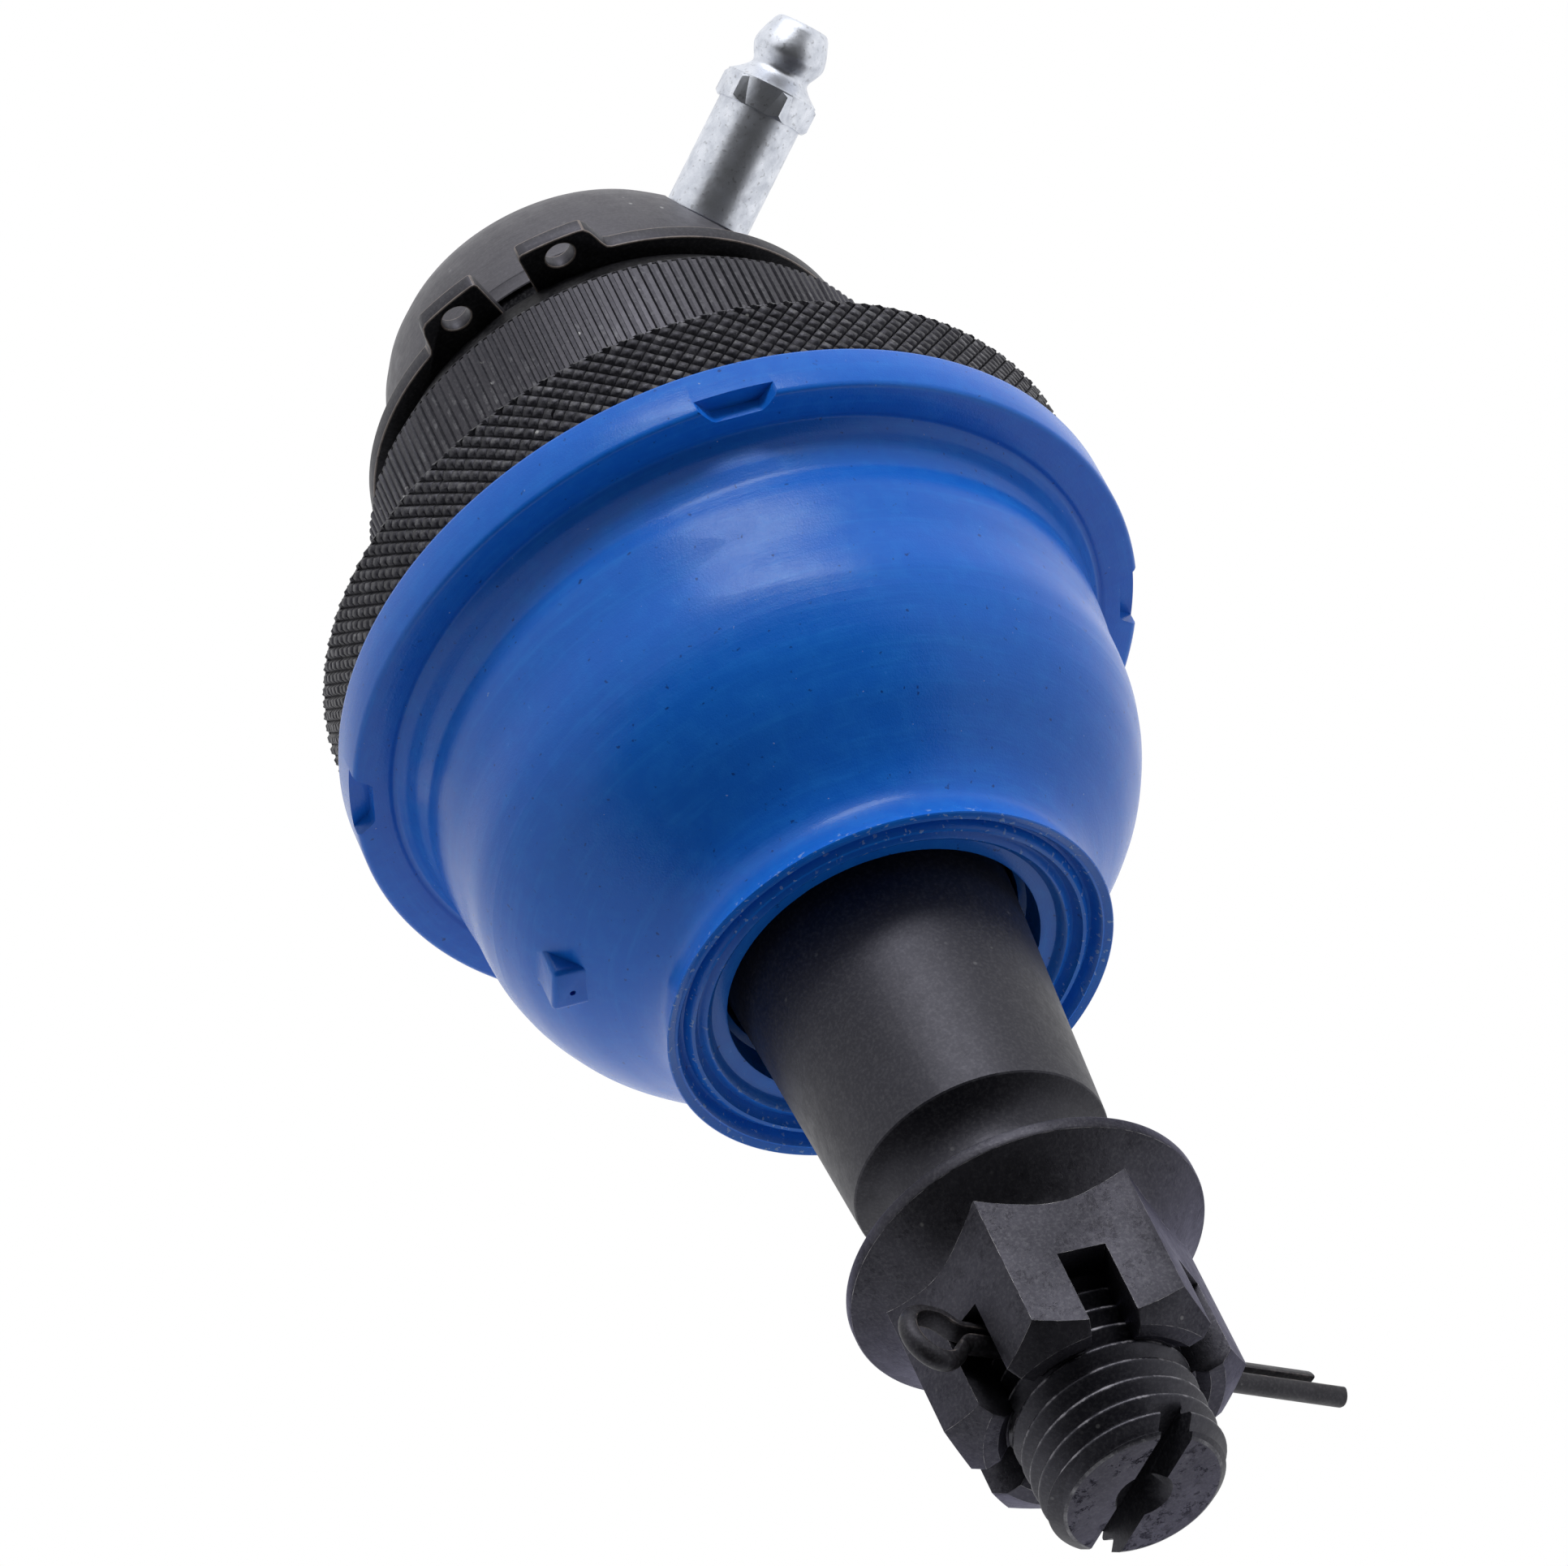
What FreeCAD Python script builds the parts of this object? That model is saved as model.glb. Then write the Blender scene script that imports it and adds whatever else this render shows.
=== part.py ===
import FreeCAD, Part
import math
import os

Vector = FreeCAD.Vector
ORIGIN = Vector(0, 0, 0)
UP = Vector(0, 0, 1)

# Millimetres. The origin is the ball centre, +Z points along the stud to its threaded end.

# Driving dimensions: ball and bearings
BALL_R = 15.6
RUN = 0.05                      # running clearance on the radius
FIT = 0.05                      # clearance of parts that are pressed or screwed together
NECK_R = 8.5
TILT_SLOPE = math.tan(math.radians(25.3))   # both tilt limits together

SHELL = 1.75                    # thickness of the bearing shells over the ball's equator
BORE_R = BALL_R + RUN + SHELL
SHELL_BACK, SHELL_EYE = -(BALL_R + 1.4), BALL_R - 8.6
SEAT_FROM, SEAT_TO = 0.5, BALL_R / 2

# Driving dimensions: housing, its radii stepped outwards from the bore
GROOVE_R = BORE_R + 1.6
NECK_BAND_R = GROOVE_R + 0.5
DOME_R = NECK_BAND_R + 0.1
LAND_R = GROOVE_R + 2.25
BAND_R = BORE_R + 7.8
FLANGE_R = BAND_R + 10.2
SPIGOT_R = FLANGE_R - 4.4
RING_SEAT_R = BORE_R + 4.1
MOUTH_R = RING_SEAT_R - 1.5
CAVITY_R = BORE_R - 5.9

# and its heights
WASHER_H = 3.0                  # space of the preload washer
BORE_END = SHELL_BACK - WASHER_H
CAVITY_END = BORE_END - 8.0
DOME_Z, DOME_EDGE = CAVITY_END - 6.4, BORE_END - 0.3
GROOVE_TOP, GROOVE_BOTTOM = BORE_END + 1.8, BORE_END + 4.4
BAND_START = BORE_END + 9.5
SEAT_Z = BAND_START + 17.95     # flange face that rests on the arm
RING_SEAT_Z = BALL_R - 4.6
LIP_Z = RING_SEAT_Z + 4.05
FLANGE_TOP = LIP_Z - 0.05
SPIGOT_TOP = FLANGE_TOP + 3.6

# Driving dimensions: snap ring
SNAP_R, SNAP_LUG_R, SNAP_THICK = 23.1, 26.1, 1.5
LUGS = ((-65.0, -78.0), (-101.0, -87.5))    # outer and inner side of each lug, degrees
LUG_HOLES, LUG_HOLE_R = (-69.9, -95.7), 1.35

# Driving dimensions: grease nipple, lengths from its tip
NIPPLE_AZIMUTH, NIPPLE_LEAN = -153.7, 27.0  # turn about Z, tilt of the axis below the XY plane
NIPPLE_FOOT_R, NIPPLE_FOOT_Z = DOME_R - 1.7, BORE_END - 7.6  # where its axis meets the dome
NIPPLE_OUT, SPOT_DEPTH, SPOT_R = 19.1, 0.6, 4.5
NIPPLE_THREAD_R, NIPPLE_THREAD = 2.95, 6.4
NIPPLE_HEX, HEX_START, HEX_END = 8.0, 6.35, 8.95
MOUTH, CHAMBER_R, CHAMBER_END, DUCT_R = 0.95, 1.3, 9.5, 0.8
SEAT_DEPTH = 0.7
CHECK_TRAVEL = 0.7

# Driving dimensions: boot
RIM_R, RIM_BOTTOM = FLANGE_R + 1.0, FLANGE_TOP + 0.1
RIM_TOP = RIM_BOTTOM + 4.8
RIM_RING_R = SPIGOT_R + 1.3
SHOULDER_R, SHOULDER_Z = RIM_R - 5.8, 33.0  # where the straight wall turns into the shoulder
WALL = 2.0
LIP_HOLE_R, LIP_FACE_Z, LIP_EDGE_R, LIP_EDGE_Z = 14.2, 54.4, 20.25, 56.2
POCKETS = (-106.5, -16.2, 73.5, 163.2)
LIP_RING_R, LIP_RING_LOW, LIP_RING_HIGH = 17.0, 51.4, 53.2

# Driving dimensions: stud
TAPER_START, TAPER_R, TAPER_END, TAPER_END_R = 48.0, 13.25, 78.3, 11.35
RELIEF_R, THREAD_START, THREAD_R = 8.2, 84.0, 8.0
STUD_END, STUD_END_R = 115.9, 6.73
END_SLOT, END_SLOT_DEPTH, END_SLOT_ANGLE = 3.0, 3.1, 43.0
PIN_Z, PIN_ANGLE, PIN_HOLE_R = 100.35, -52.0, 1.95

# Driving dimensions: nut and pin
NUT_LOW, NUT_RIM_Z, NUT_TOP = 88.0, 89.35, 107.0
NUT_FLANGE_R, NUT_AF = 15.7, 23.0
SLOT_W, SLOT_FLOOR, FLAT_ANGLE = 4.2, 98.7, -52.0
WIRE_W, WIRE_H, LEG_GAP = 2.0, 1.3, 0.6
PIN_YAW, PIN_SIDE = 3.5, 0.4                # the pin lies askew against the side of its slot
LOOP_OUT, LOOP_R, LOOP_UP, LOOP_THICK = 15.1, 2.75, 0.55, 1.05
SHORT_LEG, LONG_LEG = 24.5, 27.4


def at(z, r):
    return Vector(r, 0, z)


def turned(start, *steps):
    """Solid of revolution; a step is one (z, r) for a straight, or [middle, end] for an arc."""
    edges, here = [], start
    for step in list(steps) + [start]:
        if isinstance(step, tuple):
            edges.append(Part.makeLine(at(*here), at(*step)))
            here = step
        else:
            edges.append(Part.Arc(at(*here), at(*step[0]), at(*step[1])).toShape())
            here = step[1]
    return Part.Face(Part.Wire(edges)).revolve(ORIGIN, UP, 360)


def tube(outer, inner, z0, z1):
    whole = Part.makeCylinder(outer, z1 - z0, Vector(0, 0, z0))
    return whole.cut(Part.makeCylinder(inner, z1 - z0, Vector(0, 0, z0)))


def hexagon(across_flats, z0, z1, flat_angle):
    corner = across_flats / 2 / math.cos(math.pi / 6)
    turns = [math.radians(flat_angle + 30 + 60 * k) for k in range(7)]
    ring = [Vector(corner * math.cos(a), corner * math.sin(a), z0) for a in turns]
    return Part.Face(Part.makePolygon(ring)).extrude(Vector(0, 0, z1 - z0))


def turn_z(shape, degrees):
    shape.rotate(ORIGIN, UP, degrees)
    return shape


def sector(outer, inner, a0, a1, z0, height):
    """Piece of a flat ring between two angles."""
    piece = Part.makeCylinder(outer, height, Vector(0, 0, z0), UP, a1 - a0)
    piece = piece.cut(Part.makeCylinder(inner, height, Vector(0, 0, z0)))
    return turn_z(piece, a0)


def one(shape):
    """The single solid of a shape that has been cut or fused."""
    shape = shape.removeSplitter()
    if len(shape.Solids) != 1:
        raise ValueError("expected one solid, found %d" % len(shape.Solids))
    return shape.Solids[0]


# Nipple frame: its own +Z runs from the tip into the dome
lean = math.radians(NIPPLE_LEAN)
foot_turn = FreeCAD.Rotation(UP, NIPPLE_AZIMUTH)
inward = foot_turn.multVec(Vector(-math.cos(lean), 0, math.sin(lean)))
foot = foot_turn.multVec(Vector(NIPPLE_FOOT_R, 0, NIPPLE_FOOT_Z))
nipple_place = FreeCAD.Placement(foot - inward * NIPPLE_OUT, FreeCAD.Rotation(UP, inward))
NIPPLE_BASE = NIPPLE_OUT + SPOT_DEPTH


def on_nipple(shape):
    shape.Placement = nipple_place.multiply(shape.Placement)
    return shape


# Housing
def make_housing():
    body = turned(
        (DOME_Z, 0), (DOME_Z, DOME_R - 11.6),
        [(DOME_Z + 1.2, DOME_R - 6.7), (DOME_Z + 4.2, DOME_R - 3.05)],
        [(DOME_Z + 8.9, DOME_R - 0.8), (DOME_EDGE, DOME_R)],
        (DOME_EDGE, NECK_BAND_R), (GROOVE_TOP, NECK_BAND_R), (GROOVE_TOP, GROOVE_R),
        (GROOVE_BOTTOM, GROOVE_R), (GROOVE_BOTTOM, LAND_R), (BAND_START, BAND_R),
        (SEAT_Z, BAND_R), (SEAT_Z, FLANGE_R), (FLANGE_TOP, FLANGE_R),
        (FLANGE_TOP, SPIGOT_R), (SPIGOT_TOP, SPIGOT_R), (SPIGOT_TOP, MOUTH_R + 0.8),
        (SPIGOT_TOP - 0.8, MOUTH_R), (LIP_Z, MOUTH_R), (LIP_Z, RING_SEAT_R),
        (RING_SEAT_Z, RING_SEAT_R), (RING_SEAT_Z, BORE_R), (BORE_END, BORE_R),
        (BORE_END, CAVITY_R), (CAVITY_END + 2, CAVITY_R), (CAVITY_END, CAVITY_R - 2),
        (CAVITY_END, 0))
    spot = Part.makeCylinder(SPOT_R, 6, Vector(0, 0, NIPPLE_BASE - 6))
    drill = Part.makeCylinder(NIPPLE_THREAD_R + FIT, 12, Vector(0, 0, NIPPLE_BASE - 1))
    return one(body.cut(on_nipple(spot)).cut(on_nipple(drill)))


# Snap ring, opened at the lugs
def edge_near(shape, radius, degrees):
    """Upright edge of a flat shape at the given radius and angle."""
    a = math.radians(degrees)
    spot = Vector(radius * math.cos(a), radius * math.sin(a), 0)
    def off(e):
        first, last = e.Vertexes[0].Point, e.Vertexes[-1].Point
        if abs(first.z - last.z) < SNAP_THICK / 2:
            return 1e9
        return math.hypot(first.x - spot.x, first.y - spot.y)
    return min(shape.Edges, key=off)


def make_snap_ring():
    low = GROOVE_BOTTOM - 0.05 - SNAP_THICK
    inner = GROOVE_R + FIT
    rise = SNAP_LUG_R - SNAP_R
    hole_r = SNAP_LUG_R - 1.5 * LUG_HOLE_R
    gap_from, gap_to = LUGS[0][1], LUGS[1][1]
    ring = sector(SNAP_R, inner, gap_from, gap_to + 360, low, SNAP_THICK)
    for first, second in LUGS:
        lug = sector(SNAP_LUG_R, inner, min(first, second), max(first, second), low, SNAP_THICK)
        ring = ring.fuse(lug)
    ring = ring.removeSplitter()
    for outside, inside in LUGS:
        ring = ring.makeFillet(0.4 * rise, [edge_near(ring, SNAP_LUG_R, outside)])
        ring = ring.makeFillet(0.5 * rise, [edge_near(ring, SNAP_R, outside)])
        ring = ring.makeFillet(0.13 * rise, [edge_near(ring, SNAP_LUG_R, inside)])
    for angle in LUG_HOLES:
        a = math.radians(angle)
        centre = Vector(hole_r * math.cos(a), hole_r * math.sin(a), low - 1)
        ring = ring.cut(Part.makeCylinder(LUG_HOLE_R, SNAP_THICK + 2, centre))
    return one(ring)


# Grease nipple with its check ball and spring
BALL_SIT = math.sqrt((CHAMBER_R - RUN) ** 2 - MOUTH ** 2)
CHECK_BALL_Z = SEAT_DEPTH + BALL_SIT + RUN


def make_nipple():
    end = NIPPLE_BASE + NIPPLE_THREAD
    body = turned(
        (0, 0), (0, 2.35), (0.45, 2.7), (1.8, 3.2), (2.6, 3.4), (3.2, 3.4), (3.9, 3.1), (4.7, 2.75),
        (5.5, 3.3), (HEX_START, 4.4), (HEX_START + 0.3, 4.6), (HEX_END - 0.3, 4.6),
        (HEX_END, 3.97), (NIPPLE_BASE, 3.97), (NIPPLE_BASE, NIPPLE_THREAD_R),
        (end - 0.5, NIPPLE_THREAD_R), (end, NIPPLE_THREAD_R - 0.5), (end, 0))
    trim = hexagon(NIPPLE_HEX, HEX_START - 1, HEX_END, 0)
    keep = trim.fuse(Part.makeCylinder(4.2, HEX_START - 1)).fuse(
        Part.makeCylinder(4.2, end + 1 - HEX_END, Vector(0, 0, HEX_END)))
    body = body.common(keep)
    step = CHAMBER_R - MOUTH
    hollow = turned(
        (-1, 0), (-1, MOUTH), (SEAT_DEPTH, MOUTH), (SEAT_DEPTH + step, CHAMBER_R),
        (CHAMBER_END, CHAMBER_R), (CHAMBER_END, DUCT_R), (end + 1, DUCT_R), (end + 1, 0))
    return one(on_nipple(body.cut(hollow)))


def make_check_ball():
    return on_nipple(Part.makeSphere(CHAMBER_R - RUN, Vector(0, 0, CHECK_BALL_Z)))


def make_nipple_spring():
    """Six turns of wire, drawn as short straight runs."""
    wire, turns, runs = 0.15, 6, 8
    start = CHECK_BALL_Z + CHAMBER_R + wire
    rise = (CHAMBER_END - wire - start - 0.05) / (turns * runs)
    reach = CHAMBER_R - wire - 0.1
    line = []
    for k in range(turns * runs + 1):
        a = 2 * math.pi * k / runs
        line.append(Vector(reach * math.cos(a), reach * math.sin(a), start + rise * k))
    along = (line[1] - line[0]).normalize()
    side = along.cross(UP).normalize()
    over = side.cross(along)
    corners = [line[0] + (side * i + over * j) * wire * 0.8
               for i, j in ((1, 1), (-1, 1), (-1, -1), (1, -1), (1, 1))]
    section = Part.makePolygon(corners)
    return one(on_nipple(Part.makePolygon(line).makePipeShell([section], True, False, 1)))


# Bearings, preload washer and closing ring
def make_upper_bearing():
    shell = tube(BORE_R - FIT, SHELL_EYE, SHELL_BACK, -SEAT_FROM)
    return one(shell.cut(Part.makeSphere(BALL_R + RUN)))


def neck_clear(z):
    """Smallest bore radius that the tilted neck needs at height z."""
    return TILT_SLOPE * z + NECK_R / math.cos(math.atan(TILT_SLOPE))


def make_lower_bearing():
    seat_r = math.sqrt((BALL_R + RUN) ** 2 - SEAT_TO ** 2)
    core = BALL_R - 5.6
    shell = turned(
        (SEAT_FROM, core), (SEAT_FROM, BORE_R - FIT), (RING_SEAT_Z, BORE_R - FIT),
        (RING_SEAT_Z, neck_clear(RING_SEAT_Z) + 0.5), (SEAT_TO, seat_r), (SEAT_TO, core))
    return one(shell.cut(Part.makeSphere(BALL_R + RUN)))


def make_preload_spring():
    inner, outer, thick = SHELL_EYE + 2, BORE_R - 0.8, WASHER_H * 0.4
    return turned(
        (BORE_END, outer), (BORE_END + thick, outer), (SHELL_BACK, inner + 0.5),
        (SHELL_BACK, inner), (SHELL_BACK - thick, inner), (BORE_END, outer - 0.6))


def make_closing_ring():
    wide = RING_SEAT_R - FIT
    return turned(
        (RING_SEAT_Z, neck_clear(RING_SEAT_Z) + 0.6), (RING_SEAT_Z, wide), (LIP_Z, wide),
        (LIP_Z, neck_clear(LIP_Z) + 0.7))


# Boot with its two rings
def prism(outline, x0, x1):
    """Outline in the YZ plane, drawn out from x0 to x1."""
    points = [Vector(x0, y, z) for y, z in outline + outline[:1]]
    return Part.Face(Part.makePolygon(points)).extrude(Vector(x1 - x0, 0, 0))


def make_boot():
    rim_r = RIM_RING_R + FIT
    bore = TAPER_R + 0.3
    body = turned(
        (RIM_BOTTOM, rim_r), (RIM_BOTTOM, RIM_R), (RIM_TOP - 0.4, RIM_R), (RIM_TOP, RIM_R - 0.4),
        (RIM_TOP, RIM_R - 3.1), (RIM_TOP - 0.3, RIM_R - 3.3), (RIM_TOP - 0.3, RIM_R - 3.8),
        (RIM_TOP + 0.6, RIM_R - 4.1), (RIM_TOP + 2.2, RIM_R - 4.75), (RIM_TOP + 4.6, RIM_R - 5.3),
        (SHOULDER_Z, SHOULDER_R), [(39.3, SHOULDER_R - 1.3), (45, SHOULDER_R - 5.0)],
        (48.5, 22.0), (50.7, 20.1), (53, 19.3), (54.8, 19.5), (LIP_EDGE_Z, LIP_EDGE_R),
        (LIP_EDGE_Z, LIP_EDGE_R - 0.9), (LIP_FACE_Z + 0.5, 18.7),
        (LIP_FACE_Z + 1.3, 18.1), (LIP_FACE_Z + 1.3, 17.7), (LIP_FACE_Z + 0.5, 17.0),
        (LIP_FACE_Z + 0.9, 16.4), (LIP_FACE_Z, 15.7),
        (LIP_FACE_Z, LIP_HOLE_R), (51, LIP_HOLE_R), (50.6, bore), (49, bore),
        (47.6, 16.5), (46.1, 21.6), (41.2, SHOULDER_R - 4.5), (SHOULDER_Z, SHOULDER_R - WALL),
        (SPIGOT_TOP + 4.9, SHOULDER_R - WALL + 0.6), (SPIGOT_TOP + 0.3, SHOULDER_R - WALL + 1),
        (SPIGOT_TOP + 0.3, rim_r))
    body = body.cut(tube(LIP_RING_R + FIT, LIP_HOLE_R - 1, LIP_RING_LOW - FIT, LIP_RING_HIGH + FIT))
    for angle in POCKETS:
        tab = prism([(-3.9, RIM_TOP - 0.5), (3.9, RIM_TOP - 0.5), (2.5, 21.5), (-2.5, 21.5)],
                    33.4, RIM_R + 1)
        slope = Part.makePolygon([Vector(33.4, -5, RIM_TOP), Vector(33.4, -5, 22),
                                  Vector(35.8, -5, 22), Vector(35.8, -5, 21.5),
                                  Vector(33.4, -5, RIM_TOP)])
        tab = tab.cut(Part.Face(slope).extrude(Vector(0, 10, 0)))
        tab = tab.common(Part.makeCylinder(RIM_R - 0.02, 30))
        pocket = prism([(-3.3, 18.95), (3.3, 18.95), (2.0, 20.85), (-2.0, 20.85)], 34.9, 38)
        body = body.fuse(turn_z(tab, angle)).cut(turn_z(pocket, angle))
    return one(body)


def make_rim_ring():
    return one(tube(RIM_RING_R, SPIGOT_R + FIT, FLANGE_TOP + 0.3, SPIGOT_TOP - 0.3))


def make_lip_ring():
    return one(tube(LIP_RING_R, LIP_HOLE_R + 0.2, LIP_RING_LOW, LIP_RING_HIGH))


# Ball stud
def make_stud():
    foot_z = -14.5
    neck_z = math.sqrt(BALL_R ** 2 - NECK_R ** 2)
    shank = turned(
        (0, 0), (0, 5), (neck_z, NECK_R), (28, NECK_R), [(37.5, 10.1), (45, 13.0)],
        (TAPER_START, TAPER_R), (TAPER_END, TAPER_END_R),
        (79.0, 9.7), (80.5, 8.6), (81.5, RELIEF_R), (THREAD_START, RELIEF_R),
        (THREAD_START + 0.2, THREAD_R), (STUD_END - 1.27, THREAD_R), (STUD_END, STUD_END_R),
        (STUD_END, 2.5), (STUD_END - 4.3, 0))
    ball = Part.makeSphere(BALL_R).cut(
        Part.makeBox(40, 40, 10, Vector(-20, -20, foot_z - 10)))
    body = ball.fuse(shank)
    slot = Part.makeBox(30, END_SLOT, 10, Vector(-15, -END_SLOT / 2, STUD_END - END_SLOT_DEPTH))
    hole = Part.makeCylinder(PIN_HOLE_R, 40, Vector(-20, 0, PIN_Z), Vector(1, 0, 0))
    return one(body.cut(turn_z(slot, END_SLOT_ANGLE)).cut(turn_z(hole, PIN_ANGLE)))


# Castle nut: hexagon on a flange, six slots, steep chamfer at the castle end
def make_nut():
    corner = NUT_AF / 2 / math.cos(math.pi / 6)
    blank = hexagon(NUT_AF, NUT_LOW, NUT_TOP, FLAT_ANGLE)
    blank = blank.common(turned(
        (NUT_LOW, 0), (NUT_LOW, 14), (NUT_TOP - 2.1, corner + 0.01), (NUT_TOP, 10.6), (NUT_TOP, 0)))
    flange = turned(
        (NUT_LOW, 0), (NUT_LOW, NUT_FLANGE_R - 0.1), (NUT_LOW + 0.1, NUT_FLANGE_R),
        (NUT_RIM_Z, NUT_FLANGE_R), (93.4, NUT_AF / 2), (93.4, 0))
    body = blank.fuse(flange).cut(
        Part.makeCylinder(THREAD_R + FIT, 40, Vector(0, 0, NUT_LOW - 5)))
    for k in range(3):
        slot = Part.makeBox(40, SLOT_W, 20, Vector(-20, -SLOT_W / 2, SLOT_FLOOR))
        body = body.cut(turn_z(slot, FLAT_ANGLE + 60 * k))
    for z, r0, r1 in ((NUT_LOW, THREAD_R + 1, THREAD_R), (NUT_TOP, THREAD_R, THREAD_R + 1)):
        start = z if r0 > r1 else z - 1
        body = body.cut(Part.makeCone(r0 + FIT, r1 + FIT, 1, Vector(0, 0, start)))
    return one(body)


# Split pin: a loop outside the nut and two half-round legs, built along +X at height zero
def make_leg(side, x_end):
    """One leg along X: flat towards its fellow, straight sides, a round back."""
    start, half, flat = -(LOOP_OUT - LOOP_R + LOOP_THICK / 3), WIRE_W / 2, side * LEG_GAP / 2
    back = side * (LEG_GAP / 2 + WIRE_H)
    shoulder = back - side * half
    corners = [Vector(start, y, z) for y, z in (
        (half, shoulder), (half, flat), (-half, flat), (-half, shoulder))]
    bow = Part.Arc(corners[3], Vector(start, 0, back), corners[0]).toShape()
    sides = [Part.makeLine(p, q) for p, q in zip(corners, corners[1:])]
    return Part.Face(Part.Wire(sides + [bow])).extrude(Vector(x_end - start, 0, 0))


def make_pin():
    pin = make_leg(1, LONG_LEG).fuse(make_leg(-1, SHORT_LEG))
    turns = [math.radians(22.5 + 45 * k) for k in range(9)]
    section = [Vector(LOOP_R + LOOP_THICK / 2 * math.cos(a), WIRE_W / 2 * math.sin(a), 0) for a in turns]
    loop = Part.Face(Part.makePolygon(section)).revolve(ORIGIN, Vector(0, 1, 0), 360)
    loop.translate(Vector(-LOOP_OUT, 0, LOOP_UP))
    pin = pin.fuse(loop)
    pin.translate(Vector(0, PIN_SIDE, PIN_Z))
    return one(turn_z(pin, PIN_ANGLE + 180 + PIN_YAW))


def main():
    made = {
        "housing_body": make_housing, "snap_ring": make_snap_ring,
        "grease_nipple": make_nipple, "nipple_check_ball": make_check_ball,
        "nipple_spring": make_nipple_spring, "upper_bearing": make_upper_bearing,
        "lower_bearing": make_lower_bearing, "preload_spring": make_preload_spring,
        "closing_ring": make_closing_ring, "boot": make_boot,
        "boot_rim_ring": make_rim_ring, "boot_lip_ring": make_lip_ring,
        "ball_stud": make_stud, "castle_nut": make_nut, "cotter_pin": make_pin}
    os.makedirs("parts", exist_ok=True)
    for name, make in made.items():
        shape = make()
        box = shape.BoundBox
        print(name, shape.ShapeType, shape.isValid(), "%.1f %.1f  %.1f %.1f  %.1f %.1f" % (
            box.XMin, box.XMax, box.YMin, box.YMax, box.ZMin, box.ZMax))
        shape.exportStep("parts/%s.step" % name)


main()
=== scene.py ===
import math
import random

import bpy
from mathutils import Matrix, Vector


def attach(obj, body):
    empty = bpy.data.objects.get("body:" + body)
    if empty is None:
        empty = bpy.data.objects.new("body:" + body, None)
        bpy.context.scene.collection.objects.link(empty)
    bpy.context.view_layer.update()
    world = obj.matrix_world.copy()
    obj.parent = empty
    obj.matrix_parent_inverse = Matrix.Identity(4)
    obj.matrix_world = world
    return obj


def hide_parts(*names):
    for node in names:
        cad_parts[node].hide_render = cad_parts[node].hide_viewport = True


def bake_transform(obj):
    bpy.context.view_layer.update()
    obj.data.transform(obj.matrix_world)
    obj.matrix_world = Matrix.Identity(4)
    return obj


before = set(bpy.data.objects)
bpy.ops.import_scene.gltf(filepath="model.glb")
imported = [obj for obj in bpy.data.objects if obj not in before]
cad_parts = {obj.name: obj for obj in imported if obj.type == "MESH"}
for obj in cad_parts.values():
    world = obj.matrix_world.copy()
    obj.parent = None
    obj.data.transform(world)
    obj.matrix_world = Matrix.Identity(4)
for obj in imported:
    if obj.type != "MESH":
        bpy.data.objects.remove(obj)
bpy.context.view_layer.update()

# Room
# A white table top in a bright tent, a square panel and a long strip lamp above the picture,
# and a long lens that looks at the boot and the stud from the front.
MM = 0.001
EYE = Vector((0.559, -637.702, 584.948)) * MM
LOOK_RIGHT = Vector((-0.89622, 0.29114, 0.3347))
LOOK_DOWN = Vector((0.4436, 0.58819, 0.6762))
LOOK_AHEAD = Vector((0.0, 0.7545, -0.6563))
TABLE_Z = -38.9 * MM
LAMP_AIM = Vector((0, 0, 40 * MM))

lens = bpy.data.cameras.new("lens")
lens.lens, lens.sensor_width = 223.6, 36.0
lens.clip_start, lens.clip_end = 0.05, 20
eye = bpy.data.objects.new("camera", lens)
bpy.context.scene.collection.objects.link(eye)
axes = Matrix((LOOK_RIGHT, -LOOK_DOWN, -LOOK_AHEAD)).transposed()
eye.matrix_world = Matrix.Translation(EYE) @ axes.to_4x4()
bpy.context.scene.camera = eye
bpy.context.scene.view_settings.view_transform = "Standard"


def node_at(tree, kind, x=0, y=0, **values):
    """New node; values fill its input sockets by name, with underscores for spaces."""
    node = tree.nodes.new(kind)
    node.location = (x, y)
    for key, value in values.items():
        node.inputs[key.replace("_", " ")].default_value = value
    return node


def wire(tree, *pairs):
    """Links from each source to its target."""
    for source, target in pairs:
        tree.links.new(source, target)


def maths(tree, operation, a, b=0.0):
    """Math node on two values or sockets; one that takes a single value leaves out the second."""
    node = tree.nodes.new("ShaderNodeMath")
    node.operation = operation
    for socket, value in zip(node.inputs, (a, b)):
        if isinstance(value, (int, float)):
            socket.default_value = value
        else:
            tree.links.new(value, socket)
    return node.outputs[0]


# A bright tent all round, apart from the dark opening that the camera looks through. The opening's
# edge goes by the cosine of the angle to the camera.
OPENING_EDGE, OPENING_FULL, OPENING_LIGHT = 0.42, 0.72, 0.06
world = bpy.data.worlds.new("studio")
bpy.context.scene.world = world
world.use_nodes = True
sky = world.node_tree
sky.nodes.clear()
sky_dir = node_at(sky, "ShaderNodeTexCoord", -1000)
toward = node_at(sky, "ShaderNodeVectorMath", -800)
toward.operation = "DOT_PRODUCT"
toward.inputs[1].default_value = tuple(-LOOK_AHEAD)
ramp = node_at(sky, "ShaderNodeMapRange", -600, From_Min=OPENING_EDGE, From_Max=OPENING_FULL, To_Min=1.0,
               To_Max=OPENING_LIGHT)
ramp.interpolation_type = "SMOOTHSTEP"
seen = node_at(sky, "ShaderNodeLightPath", -1000, -300).outputs
show_white = maths(sky, "MAXIMUM", seen["Is Camera Ray"], seen["Is Transmission Ray"])
soft = node_at(sky, "ShaderNodeBackground", -300, Strength=1.0)
white = node_at(sky, "ShaderNodeBackground", -300, -200, Strength=1.0)
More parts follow.
